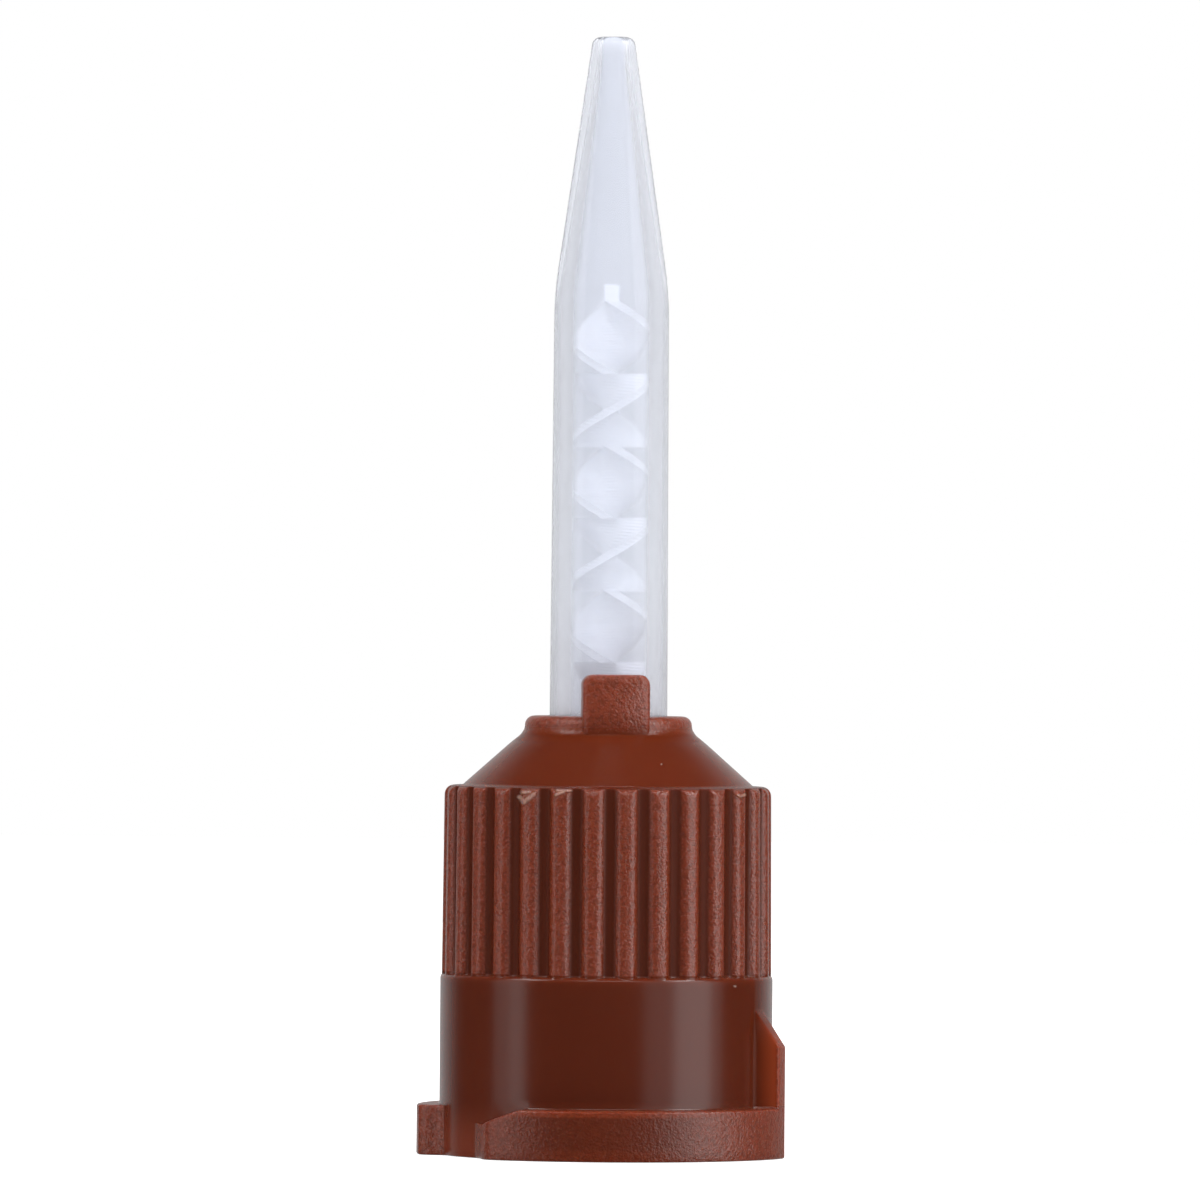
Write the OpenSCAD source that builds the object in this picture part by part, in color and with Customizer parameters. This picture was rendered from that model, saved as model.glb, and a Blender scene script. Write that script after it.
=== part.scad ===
// Dental mixing tip: a bayonet collar that turns on a translucent nozzle,
// with a one-piece helical mixing element pushed into the nozzle from below.
// Millimetres, +Z up, origin on the axis in the plane of the collar's open end.
// View angles run from the front (-Y) towards +X, in degrees.

/* [Collar] */
// Outer radius of the smooth skirt
skirt_r = 5.65; // [5.45:0.05:5.8]
// Height of the smooth skirt
skirt_h = 6.15; // [5.9:0.05:6.6]
// Height of the ribbed grip band
grip_h = 6.4; // [6.0:0.1:7.5]
// Height of the conical shoulder
cone_h = 1.8; // [1.6:0.05:2.2]
// Radius where the cone starts on top of the grip band
cone_base_r = 4.95; // [4.7:0.05:5.0]
// Radius of the ring at the collar's top
ring_r = 2.84; // [2.75:0.01:2.95]
// Height of that ring
ring_h = 0.57; // [0.5:0.01:0.9]
// Radius of the mouth that goes over the syringe outlet
mouth_r = 4.8; // [4.78:0.01:4.85]
// Radius of the seat above the mouth, round the nozzle's bell
bell_seat_r = 4.6; // [4.5:0.05:4.65]
// Wall of the conical shoulder, measured straight down
roof_wall = 1.15; // [1:0.05:1.3]
// Length of the ring's bearing bore on the nozzle
bearing_l = 1.3; // [1.1:0.05:1.5]
// Width of the rounding at the skirt's and the ring's upper edges
edge_r = 0.16; // [0.1:0.02:0.22]

/* [Grip ribs] */
// Number of ribs
rib_count = 30; // [26:1:32]
// Radius over the ribs
rib_r = 5.6; // [5.5:0.02:5.64]
// Depth of the grooves
groove_depth = 0.22; // [0.2:0.02:0.28]
// Width of a rib at its crest
rib_w = 0.62; // [0.56:0.02:0.7]
// Rounding of a rib's crest edges
rib_round = 0.2; // [0.12:0.01:0.2]
// Spread of a rib at its foot, each side
rib_splay = 0.04; // [0:0.01:0.06]
// Narrowing of the ribbed band from bottom to top, on the radius
grip_draft = 0.05; // [0.02:0.01:0.08]
// View angle of one rib
rib_phase = 6.9; // [0:0.1:12]

/* [Tab] */
// Width of the index tab
tab_w = 2.28; // [1.8:0.02:2.6]
// Height of the tab above the ring
tab_h = 1.42; // [0.8:0.02:1.6]
// Radius of the tab's outer face
tab_r = 3.1; // [3.0:0.02:3.2]
// Thickness of the tab
tab_t = 0.85; // [0.7:0.05:0.9]
// Radius of the tab's upper corners
tab_corner_r = 0.36; // [0.2:0.02:0.5]
// View angle of the tab's middle
tab_angle = 5.5; // [-10:0.5:20]

/* [Bayonet lugs] */
// Outer radius of the lugs
lug_r = 6.42; // [6.2:0.02:6.6]
// Height of the lugs
lug_h = 1.7; // [1.5:0.05:2]
// View angle of the front lug's leading end
front_lead = -40; // [-50:1:-30]
// View angle of the rear lug's leading end
rear_lead = 168; // [160:1:175]
// View angle of the rear lug's trailing end
rear_trail = 280; // [270:1:285]
// Extra angle by which a leading end reaches further at its root
lead_skew = 12.4; // [6:0.2:16]
// Extra angle by which the rear trailing end reaches further at its root
trail_skew = 5; // [2:0.5:8]
// Angle that the lead-in ramp covers
ramp_angle = 12.7; // [8:0.1:16]
// Height that the lead-in ramp takes off
ramp_drop = 0.45; // [0.3:0.05:0.7]
// Distance of the stop fin's rear face from the axis, towards the front
fin_back = 2.04; // [1.8:0.02:2.4]
// Thickness of the stop fin
fin_t = 0.6; // [0.5:0.05:0.7]
// Height of the fin's outer edge
fin_h = 3.78; // [3.4:0.02:4]
// Height of the fin where it meets the skirt
fin_root_h = 5.06; // [4.7:0.02:5.4]

/* [Nozzle] */
// Height of the nozzle's outlet above the base
overall_h = 38; // [36:0.5:40]
// Radius of the tube just above the collar
tube_r = 2; // [1.9:0.025:2.05]
// Radius of the tube at its shoulder
tube_top_r = 1.95; // [1.9:0.01:1.97]
// Height of the shoulder where the taper starts
shoulder_z = 29.25; // [29:0.25:30]
// Outer radius of the outlet's rim before its rounding
tip_r = 0.74; // [0.7:0.02:0.9]
// Radius of the outlet bore
outlet_r = 0.4; // [0.34:0.02:0.46]
// Length of the straight outlet bore
outlet_l = 1; // [0.8:0.1:1.6]
// Rounding of the outlet's rim
tip_round = 0.3; // [0.16:0.02:0.32]
// Height of the flange's top, under the collar's ledge
flange_z = 10; // [9.8:0.1:10.2]
// Thickness of the flange
flange_t = 0.7; // [0.6:0.05:0.8]
// Height of the bell's lower rim
bell_z = 5; // [4.9:0.05:5.1]
// Wall of the bell
bell_wall = 0.7; // [0.6:0.05:0.8]
// Height of the seat for the inlet disc
seat_z = 7.4; // [7.2:0.1:7.6]
// Width of that seat
seat_w = 0.42; // [0.3:0.02:0.5]

/* [Mixing element] */
// Number of helical blades
blade_count = 8; // [6:1:8]
// Length of one blade
blade_l = 2.45; // [2.35:0.05:2.45]
// Radius of the blades
blade_r = 1.22; // [1.1:0.02:1.24]
// Thickness of the blades
blade_t = 0.44; // [0.36:0.02:0.5]
// Height of the last blade's end
blade_top_z = 28.95; // [28.9:0.01:29]
// Length of the nose pin above the last blade
pin_l = 0.6; // [0.4:0.05:0.8]
// Width of the nose pin
pin_w = 0.5; // [0.4:0.02:0.6]
// Thickness of the inlet disc
disc_t = 1.2; // [1:0.05:1.4]
// Distance of each inlet from the axis
inlet_x = 1.72; // [1.66:0.02:1.8]
// Radius of each inlet bore
inlet_r = 0.95; // [0.8:0.05:1.05]
// Wall of each inlet sleeve
sleeve_wall = 0.5; // [0.4:0.02:0.6]
// Height of the sleeves' lower ends
sleeve_z = 4.6; // [4.55:0.05:4.8]
// Thickness of the web between the two streams
web_t = 0.5; // [0.4:0.05:0.7]

/* [Fits] */
// Radial clearance of the collar on the nozzle's tube
swivel_gap = 0.065; // [0.04:0.005:0.09]
// Radial clearance of the nozzle's bell in the collar
bell_gap = 0.08; // [0.05:0.01:0.1]
// Radial clearance of the blades in the bore
blade_gap = 0.06; // [0.04:0.01:0.08]
// Radial clearance of the inlet disc in the bell
disc_gap = 0.02; // [0.01:0.01:0.04]
// Axial clearance of the nozzle's flange under the collar's ledge
ledge_gap = 0.1; // [0.06:0.02:0.14]
// Width of the collar's ledge above the flange
ledge_w = 0.5; // [0.4:0.05:0.6]
// Radius of the snap bead's section
bead_r = 0.24; // [0.2:0.02:0.26]
// Height of the snap bead's reach past the bell's wall
bead_bite = 0.09; // [0.05:0.01:0.12]

/* [Turn stops] */
// Angle that the collar turns on the nozzle
turn = 90; // [60:5:100]
// Thickness of the nozzle's stop key
key_t = 0.6; // [0.5:0.05:0.7]
// Height of the key above the flange
key_h = 0.9; // [0.7:0.05:1.1]
// Radial length of the key and of the collar's stop ribs
key_l = 0.65; // [0.5:0.05:0.7]
// Thickness of the collar's stop ribs
stop_t = 0.5; // [0.4:0.05:0.6]
// View angle of the nozzle's key
key_angle = 180; // [170:1:190]
// Angle left free between key and stop rib
stop_slack = 1; // [0.5:0.1:2]

/* [Hidden] */
$fn = 96;

// Steps of a drawn quarter arc, and of one blade's half turn
arc_steps = 6;
blade_steps = 24;
// Length by which joined solids run into each other
bite = 0.05;
// Length by which a cutting shape runs past what it cuts
over = 1;
// Height of the cone's foot under the ring, and width of its step out from the ring
ring_foot = 0.35;
ring_step = 0.48;
// Depth of the fin's root in the skirt
fin_root = 0.4;
// Height of the funnel that leads from the nozzle's chamber into its bore
funnel_h = 0.4;
// Room between the web and the chamber's wall
web_gap = 0.3;
// Height of the bend from the tube into its taper, above and below the shoulder
shoulder_bend = 0.5;

grip_top = skirt_h + grip_h;
cone_top = grip_top + cone_h;
collar_top = cone_top + ring_h;
tab_top = collar_top + tab_h;
groove_r = rib_r - groove_depth;
neck_r = tube_r + swivel_gap;
ledge_z = flange_z + ledge_gap;
ledge_r = bell_seat_r - ledge_w;
bell_r = bell_seat_r - bell_gap;
bell_in_r = bell_r - bell_wall;
chamber_r = bell_in_r - seat_w;
bore_r = blade_r + blade_gap;
bead_z = bell_z - bead_r;
bead_centre_r = bell_r - bead_bite + bead_r;
fin_front = fin_back + fin_t;
disc_z = seat_z - disc_t;
blade_base_z = blade_top_z - blade_count * blade_l;
chamber_z = flange_z - flange_t;
key_out_r = ledge_r - bell_gap;
key_in_r = key_out_r - key_l;
contact_angle = asin((key_t + stop_t) / 2 / key_in_r) + stop_slack;
cone_neck_r = ring_r + ring_step;
roof_slope = (cone_h - ring_foot) / (cone_base_r - cone_neck_r);
roof_z = collar_top - bearing_l;
// Radius at which the inner cone reaches the roof
roof_r = cone_base_r - (roof_z + roof_wall - grip_top) / roof_slope;

// Point at a view angle and a radius, seen from above
function at(angle, r) = [r * sin(angle), -r * cos(angle)];

// Points of an arc about [x, y] from angle a0 to angle a1
function arc(x, y, r, a0, a1, steps = arc_steps) =
    [for (i = [0:steps]) let (a = a0 + (a1 - a0) * i / steps) [x + r * cos(a), y + r * sin(a)]];

// Outline of one rib as [across, out] pairs, from foot to foot
function rib_outline() = concat(
    [[-rib_w / 2 - rib_splay, groove_r]],
    arc(-rib_w / 2 + rib_round, rib_r - rib_round, rib_round, 180, 90, 4),
    arc(rib_w / 2 - rib_round, rib_r - rib_round, rib_round, 90, 0, 4),
    [[rib_w / 2 + rib_splay, groove_r]]
);

// Closed section of the ribbed band
module grip_section() {
    pitch = 360 / rib_count;
    outline = rib_outline();
    polygon([
        for (i = [0:rib_count - 1])
            let (a = rib_phase + i * pitch)
                for (p = outline)
                    [p[1] * sin(a) + p[0] * cos(a), -p[1] * cos(a) + p[0] * sin(a)]
    ]);
}

module grip_band() {
    intersection() {
        translate([0, 0, skirt_h - bite])
            linear_extrude(grip_h + bite)
                grip_section();
        rotate_extrude()
            polygon(concat(
                [[0, skirt_h - over], [rib_r + grip_draft * over / grip_h, skirt_h - over]],
                arc(rib_r - grip_draft - 2 * edge_r, grip_top - 2 * edge_r, 2 * edge_r, 0, 90),
                [[0, grip_top]]
            ));
    }
}

module skirt() {
    rotate_extrude()
        polygon(concat(
            [[0, 0], [skirt_r, 0]],
            arc(skirt_r - edge_r, skirt_h - edge_r, edge_r, 0, 90),
            [[0, skirt_h]]
        ));
}

// Conical shoulder with the ring on top
module shoulder() {
    rotate_extrude()
        polygon(concat(
            [
                [0, grip_top - bite],
                [cone_base_r, grip_top - bite],
                [cone_base_r, grip_top],
                [cone_neck_r, cone_top - ring_foot],
                [ring_r + edge_r / 2, cone_top],
                [ring_r, cone_top]
            ],
            arc(ring_r - 2 * edge_r, collar_top - 2 * edge_r, 2 * edge_r, 0, 90),
            [[0, collar_top]]
        ));
}

// Index tab that stands on the ring in front of the tube
module tab() {
    foot_z = cone_top - ring_foot;
    corner_x = tab_w / 2 - tab_corner_r;
    corner_z = tab_top - tab_corner_r;
    rotate([0, 0, tab_angle])
        intersection() {
            rotate([90, 0, 0])
                linear_extrude(tab_r + over)
                    polygon(concat(
                        [[-tab_w / 2, foot_z], [tab_w / 2, foot_z]],
                        arc(corner_x, corner_z, tab_corner_r, 0, 90),
                        arc(-corner_x, corner_z, tab_corner_r, 90, 180)
                    ));
            difference() {
                cylinder(r = tab_r, h = tab_top + over);
                translate([0, 0, -over])
                    cylinder(r = tab_r - tab_t, h = tab_top + 3 * over);
            }
        }
}

// Flat plan of a lug between its two end faces
module lug_plan(lead, trail, trail_root) {
    lead_root = lead - lead_skew;
    far = 2 * lug_r;
    reach = 0.3;
    lead_way = at(lead, lug_r) - at(lead_root, skirt_r);
    trail_way = at(trail, lug_r) - at(trail_root, skirt_r);
    intersection() {
        circle(r = lug_r);
        polygon(concat(
            [[0, 0], at(lead_root, skirt_r) - reach * lead_way],
            [at(lead, lug_r) + reach * lead_way],
            [for (i = [1:5]) at(lead + (trail - lead) * i / 6, far)],
            [at(trail, lug_r) + reach * trail_way],
            [at(trail_root, skirt_r) - reach * trail_way]
        ));
    }
}

module lug(lead, trail, trail_root) {
    ramp_run = lug_r * sin(ramp_angle);
    difference() {
        linear_extrude(lug_h)
            lug_plan(lead, trail, trail_root);
        rotate([0, 0, lead + ramp_angle])
            translate([0, 0, lug_h])
                rotate([0, -atan(ramp_drop / ramp_run), 0])
                    translate([-lug_r, -2 * lug_r, 0])
                        cube([lug_r, 2 * lug_r, lug_h]);
    }
}

// Upright plate that ends the front lug and stops the turn
module stop_fin() {
    slope = (fin_root_h - fin_h) / (lug_r - skirt_r);
    root_r = skirt_r - fin_root;
    intersection() {
        rotate_extrude()
            polygon([
                [root_r, 0],
                [lug_r, 0],
                [lug_r, fin_h],
                [root_r, fin_h + slope * (lug_r - root_r)]
            ]);
        translate([0, -fin_front, 0])
            cube([2 * lug_r, fin_t, skirt_h]);
    }
}

// Space inside the collar: mouth, bell seat, ledge, inner cone and bearing bore
module collar_cavity() {
    inner_cone_z = grip_top - roof_wall + roof_slope * (cone_base_r - ledge_r);
    rotate_extrude()
        polygon([
            [0, -over],
            [mouth_r, -over],
            [mouth_r, bead_z],
            [bell_seat_r, bead_z],
            [bell_seat_r, ledge_z],
            [ledge_r, ledge_z],
            [ledge_r, inner_cone_z],
            [roof_r, roof_z],
            [neck_r, roof_z],
            [neck_r, collar_top + over],
            [0, collar_top + over]
        ]);
}

// Bead that the bell snaps past
module snap_bead() {
    rotate_extrude()
        translate([bead_centre_r, bead_z])
            circle(r = bead_r, $fn = 48);
}

// Rib inside the collar that meets the nozzle's key
module stop_rib(angle) {
    rotate([0, 0, angle])
        translate([-stop_t / 2, -ledge_r - bite, ledge_z])
            cube([stop_t, ledge_r + bite - key_in_r, key_h]);
}

module collar() {
    color("#6b3529")
    union() {
        difference() {
            union() {
                skirt();
                grip_band();
                shoulder();
                tab();
                lug(front_lead, acos(fin_back / lug_r), acos(fin_back / skirt_r));
                lug(rear_lead, rear_trail, rear_trail + trail_skew);
                stop_fin();
            }
            collar_cavity();
        }
        snap_bead();
        stop_rib(key_angle - contact_angle);
        stop_rib(key_angle + turn + contact_angle);
    }
}

// Half section of the nozzle's wall, outside then inside
module nozzle_section() {
    tip_z = overall_h - tip_round;
    slope = (tube_top_r - tip_r) / (tip_z - shoulder_z);
    polygon(concat(
        [
            [bell_in_r, bell_z],
            [bell_r, bell_z],
            [bell_r, flange_z],
            [tube_r + 2 * edge_r, flange_z],
            [tube_r, flange_z + 2 * edge_r],
            [tube_r, collar_top],
            [tube_top_r, shoulder_z - shoulder_bend],
            [tube_top_r - slope * shoulder_bend / 4, shoulder_z],
            [tube_top_r - slope * shoulder_bend, shoulder_z + shoulder_bend]
        ],
        arc(tip_r - tip_round, tip_z, tip_round, 8, 90),
        [
            [outlet_r, overall_h],
            [outlet_r, overall_h - outlet_l],
            [bore_r, shoulder_z],
            [bore_r, chamber_z],
            [chamber_r, chamber_z - funnel_h],
            [chamber_r, seat_z],
            [bell_in_r, seat_z]
        ]
    ));
}

module nozzle() {
    color("#dfe2ec", 0.6)
    union() {
        rotate_extrude()
            nozzle_section();
        rotate([0, 0, key_angle])
            translate([-key_t / 2, -key_out_r, flange_z - bite])
                cube([key_t, key_l, key_h + bite]);
    }
}

// One blade: a flat strip turned through half a turn
module blade(hand) {
    linear_extrude(blade_l + bite, twist = hand * 180, slices = blade_steps, segments = 8)
        square([2 * blade_r, blade_t], center = true);
}

// Stack of blades, left and right hand in turn, each a quarter turn from the last
module blades() {
    for (i = [0:blade_count - 1])
        translate([0, 0, blade_base_z + i * blade_l])
            rotate([0, 0, i % 2 == 0 ? 0 : 90])
                blade(i % 2 == 0 ? -1 : 1);
}

// Disc with two inlet sleeves under it
module inlet_disc() {
    sleeve_r = inlet_r + sleeve_wall;
    difference() {
        union() {
            translate([0, 0, disc_z])
                cylinder(r = bell_in_r - disc_gap, h = disc_t);
            for (x = [-inlet_x, inlet_x])
                translate([x, 0, sleeve_z])
                    cylinder(r = sleeve_r, h = disc_z - sleeve_z + bite);
        }
        for (x = [-inlet_x, inlet_x])
            translate([x, 0, sleeve_z - over])
                cylinder(r = inlet_r, h = seat_z - sleeve_z + 2 * over);
    }
}

// Web that keeps the streams apart up to the first blade
module web() {
    wide = 2 * (chamber_r - web_gap);
    foot_z = seat_z - bite;
    translate([-web_t / 2, -wide / 2, foot_z])
        cube([web_t, wide, chamber_z - funnel_h - web_gap - foot_z]);
    translate([-web_t / 2, -blade_r, foot_z])
        cube([web_t, 2 * blade_r, blade_base_z + bite - foot_z]);
}

module mixing_element() {
    color("#f1f2f5")
    union() {
        blades();
        inlet_disc();
        web();
        translate([-pin_w / 2, -pin_w / 2, blade_top_z])
            cube([pin_w, pin_w, pin_l]);
    }
}

collar();
nozzle();
mixing_element();
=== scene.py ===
"""Dental mixing tip: a ribbed brown bayonet collar on a cloudy nozzle with a white mixing element inside.

Sizes in the functions are millimetres and angles are degrees, turned from the front (-Y) towards +X.
Meshes and Blender's own values are in metres.
"""

import math
from functools import partialmethod
from types import SimpleNamespace

import bmesh
import bpy
import numpy as np
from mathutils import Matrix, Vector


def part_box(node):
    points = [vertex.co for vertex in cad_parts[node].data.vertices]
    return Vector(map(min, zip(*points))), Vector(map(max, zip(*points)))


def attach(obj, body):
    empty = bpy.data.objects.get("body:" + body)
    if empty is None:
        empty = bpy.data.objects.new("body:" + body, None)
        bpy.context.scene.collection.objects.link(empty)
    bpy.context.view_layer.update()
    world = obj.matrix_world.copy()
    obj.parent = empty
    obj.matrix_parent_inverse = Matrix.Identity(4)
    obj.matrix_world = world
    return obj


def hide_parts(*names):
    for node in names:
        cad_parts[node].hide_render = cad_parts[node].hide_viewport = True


bl_info = {
    "name": "Dental mixing tip",
    "version": (1, 0, 0),
    "blender": (4, 5, 0),
    "location": "View3D > Sidebar > Mixing tip",
    "description": "Builds the dressed collar, nozzle and mixing element round the packed model",
    "category": "Object",
}

MM = 0.001

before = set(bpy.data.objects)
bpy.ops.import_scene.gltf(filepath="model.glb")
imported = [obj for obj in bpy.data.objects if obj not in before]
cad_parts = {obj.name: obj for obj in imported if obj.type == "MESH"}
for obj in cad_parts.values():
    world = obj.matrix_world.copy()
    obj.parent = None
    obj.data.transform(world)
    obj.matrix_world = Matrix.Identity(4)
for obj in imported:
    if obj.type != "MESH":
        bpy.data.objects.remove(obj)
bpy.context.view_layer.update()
COLLAR_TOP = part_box("collar")[1].z
NOZZLE_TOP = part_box("nozzle")[1].z


class CollarSettings(bpy.types.PropertyGroup):
    """Sizes and colours of the moulded collar"""

    skirt_radius: bpy.props.FloatProperty(
        name="Skirt radius",
        description="Outer radius of the smooth skirt",
        default=5.65 * MM,
        precision=5,
        unit="LENGTH",
    )
    skirt_height: bpy.props.FloatProperty(
        name="Skirt height",
        description="Height of the smooth skirt",
        default=6.15 * MM,
        precision=5,
        unit="LENGTH",
    )
    grip_top: bpy.props.FloatProperty(
        name="Grip top",
        description="Height of the ribbed band's top",
        default=12.55 * MM,
        precision=5,
        unit="LENGTH",
    )
    tab_top: bpy.props.FloatProperty(
        name="Tab top",
        description="Height of the index tab's top, which is the collar's highest point",
        default=COLLAR_TOP,
        precision=5,
        unit="LENGTH",
    )
    rib_count: bpy.props.IntProperty(
        name="Ribs",
        description="Number of ribs round the grip band",
        default=30,
        min=3,
    )
    rib_depth: bpy.props.FloatProperty(
        name="Rib depth",
        description="Depth of the grooves between the ribs",
        default=0.24 * MM,
        precision=5,
        unit="LENGTH",
    )
    grain: bpy.props.FloatProperty(
        name="Grain",
        description="Depth of the moulded grain on ribs, lugs, ring and tab",
        default=0.045 * MM,
        precision=6,
        unit="LENGTH",
    )
    plastic: bpy.props.FloatVectorProperty(
        name="Plastic",
        description="Colour of the brown plastic",
        default=(0.104, 0.0158, 0.0048),
        size=3,
        subtype="COLOR",
    )
    whitened: bpy.props.FloatVectorProperty(
        name="Whitened plastic",
        description="Colour of the small nicks, where the plastic is torn and paler",
        default=(0.42, 0.26, 0.21),
        size=3,
        subtype="COLOR",
    )


class NozzleSettings(bpy.types.PropertyGroup):
    """Sizes and colour of the cloudy nozzle"""

    top: bpy.props.FloatProperty(
        name="Outlet height",
        description="Height of the nozzle's outlet",
        default=NOZZLE_TOP,
        precision=5,
        unit="LENGTH",
    )
    tube_radius: bpy.props.FloatProperty(
        name="Tube radius",
        description="Radius of the tube just above the collar",
        default=2.0 * MM,
        precision=5,
        unit="LENGTH",
    )
    bore_radius: bpy.props.FloatProperty(
        name="Bore radius",
        description="Radius of the bore that holds the mixing element",
        default=1.28 * MM,
        precision=5,
        unit="LENGTH",
    )
    tint: bpy.props.FloatVectorProperty(
        name="Tint",
        description="Colour that the plastic gives to light on its way through one wall",
        default=(0.9, 0.922, 0.985),
        size=3,
        subtype="COLOR",
    )


class ElementSettings(bpy.types.PropertyGroup):
    """Colour of the mixing element"""

    plastic: bpy.props.FloatVectorProperty(
        name="Plastic",
        description="Colour of the white plastic",
        default=(0.94, 0.945, 0.965),
        size=3,
        subtype="COLOR",
    )


class StageSettings(bpy.types.PropertyGroup):
    """Camera and light"""

    camera_distance: bpy.props.FloatProperty(
        name="Camera distance",
        description="Distance of the camera from the nozzle's axis",
        default=0.46,
        unit="LENGTH",
    )
    camera_height: bpy.props.FloatProperty(
        name="Camera height",
        description="Height of the level camera above the floor",
        default=18.86 * MM,
        precision=5,
        unit="LENGTH",
    )
    camera_side: bpy.props.FloatProperty(
        name="Camera side step",
        description="Sideways step of the camera, towards +X",
        default=-0.32 * MM,
        precision=5,
        unit="LENGTH",
    )
    camera_roll: bpy.props.FloatProperty(
        name="Camera roll",
        description="Turn of the camera about its view, which leans the object to the right",
        default=math.radians(0.45),
        subtype="ANGLE",
        unit="ROTATION",
    )
    frame_width: bpy.props.FloatProperty(
        name="Frame width",
        description="Width that the picture covers at the nozzle's axis",
        default=40.8 * MM,
        precision=5,
        unit="LENGTH",
    )


# Shared helpers for angles, profiles and meshes


def at(angle, radius):
    """Points at a view angle and a radius: x is radius times sine, y is minus radius times cosine."""
    turn = np.radians(angle)
    return radius * np.sin(turn), -radius * np.cos(turn)


def smooth(value, low, high):
    """Smoothstep: 0 below low, 1 above high, and 3t squared minus 2t cubed between."""
    t = np.clip((value - low) / (high - low), 0.0, 1.0)
    return t * t * (3 - 2 * t)


def arc(x, y, radius, start, end, steps):
    """Points of a circular arc about x, y, from one angle to another."""
    turn = np.radians(np.linspace(start, end, steps))
    return np.column_stack([x + radius * np.cos(turn), y + radius * np.sin(turn)])


def grid_faces(rows, columns, close_rows, close_columns):
    """Quads of a grid whose points run row by row.

    The last row is joined to the first if asked, and so is the last column."""
    row = np.arange(rows if close_rows else rows - 1)
    column = np.arange(columns if close_columns else columns - 1)
    i, j = (a.ravel() for a in np.meshgrid(row, column, indexing="ij"))
    up, over = (i + 1) % rows, (j + 1) % columns
    corners = (i * columns + j, i * columns + over, up * columns + over, up * columns + j)
    return np.column_stack(corners)


def placed(name, data):
    """A new object with this data, linked to the scene."""
    made = bpy.data.objects.new(name, data)
    bpy.context.scene.collection.objects.link(made)
    return made


def mesh_object(name, points, faces):
    """A closed piece at the origin from points in millimetres and a list of faces, all turned outwards."""
    mesh = bpy.data.meshes.new(name)
    mesh.from_pydata((points * MM).tolist(), [], faces)
    mesh.validate()
    shape = bmesh.new()
    shape.from_mesh(mesh)
    bmesh.ops.recalc_face_normals(shape, faces=shape.faces)
    shape.to_mesh(mesh)
    shape.free()
    return placed(name, mesh)


def solid_grid(name, grid):
    """A ring-shaped solid: a grid of points that is closed along its rows and its columns."""
    faces = grid_faces(*grid.shape[:2], True, True)
    return mesh_object(name, grid.reshape(-1, 3), faces.tolist())


def turned_grid(profile, columns):
    """A closed profile of radius and height carried round the axis."""
    angles = np.arange(columns) * 360.0 / columns
    x, y = at(angles[None, :], profile[:, :1])
    z = np.broadcast_to(profile[:, 1:], x.shape)
    return np.stack([x, y, z], axis=2)


# Materials


class Graph:
    """Short calls for the nodes of one node tree."""

    def __init__(self, tree):
        self.nodes = tree.nodes
        self.links = tree.links

    def add(self, kind, **values):
        """A node of one kind, with its own settings."""
        node = self.nodes.new(kind)
        for key, value in values.items():
            setattr(node, key, value)
        return node

    def feed(self, node, socket, value):
        """Sets a socket to a number or a colour, or links it to another socket."""
        if isinstance(value, bpy.types.NodeSocket):
            self.links.new(value, node.inputs[socket])
        else:
            node.inputs[socket].default_value = value

    def fill(self, node, *values, **named):
        """Feeds a node's first sockets in their order and others by name, and gives its first output."""
        for socket, value in (*enumerate(values), *named.items()):
            self.feed(node, socket, value)
        return node.outputs[0]

    def math(self, operation, *values):
        """One math step on numbers or sockets."""
        return self.fill(self.add("ShaderNodeMath", operation=operation), *values)

    plus = partialmethod(math, "ADD")
    minus = partialmethod(math, "SUBTRACT")
    times = partialmethod(math, "MULTIPLY")
    most = partialmethod(math, "MAXIMUM")
    least = partialmethod(math, "MINIMUM")

    def hypot(self, x, y):
        """The square root of the sum of two squares."""
        return self.math("SQRT", self.plus(self.times(x, x), self.times(y, y)))

    def ramp(self, value, low, high, to_low=0.0, to_high=1.0):
        """A soft step of a value from one range to another."""
        node = self.add("ShaderNodeMapRange", interpolation_type="SMOOTHSTEP")
        return self.fill(node, value, low, high, to_low, to_high)

    def blend(self, factor, first, second):
        """A blend of two numbers."""
        return self.fill(self.add("ShaderNodeMix"), Factor=factor, A=first, B=second)

    def split(self, vector):
        """A vector's x, y and z."""
        node = self.add("ShaderNodeSeparateXYZ")
        self.feed(node, 0, vector)
        return node.outputs


class Shader(Graph):
    """The node tree of one new material, with its principled surface."""

    def __init__(self, name):
        self.material = bpy.data.materials.new(name)
        self.material.use_nodes = True
        super().__init__(self.material.node_tree)
        self.surface = self.nodes["Principled BSDF"]

    def set(self, socket, value):
        """Sets or links one socket of the surface."""
        self.feed(self.surface, socket, value)

    def place(self):
        """The point's own place in the piece, in metres."""
        return self.add("ShaderNodeTexCoord").outputs["Object"]

    def noise(self, scale, detail=2.0, roughness=0.5, stretch=None):
        """Noise on the piece's own place, with a scale for each metre."""
        place = self.place()
        if stretch is not None:
            place = self.fill(self.add("ShaderNodeMapping"), Vector=place, Scale=stretch)
        node = self.add("ShaderNodeTexNoise")
        return self.fill(node, Vector=place, Scale=scale, Detail=detail, Roughness=roughness)

    def tint(self, factor, first, second):
        """A blend of two colours."""
        node = self.add("ShaderNodeMix", data_type="RGBA")
        self.feed(node, "Factor", factor)
        self.feed(node, 6, first)
        self.feed(node, 7, second)
        return node.outputs[2]

    def bump(self, height, distance, strength=1.0, normal=None):
        """A bump of a height in metres, on top of another if one is given."""
        below = {} if normal is None else {"Normal": normal}
        node = self.add("ShaderNodeBump")
        return self.fill(node, Height=height, Distance=distance, Strength=strength, **below)


def opaque(colour, share=1.0):
    """A colour, or a share of it, with full alpha."""
    return (*(c * share for c in colour), 1.0)


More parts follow.
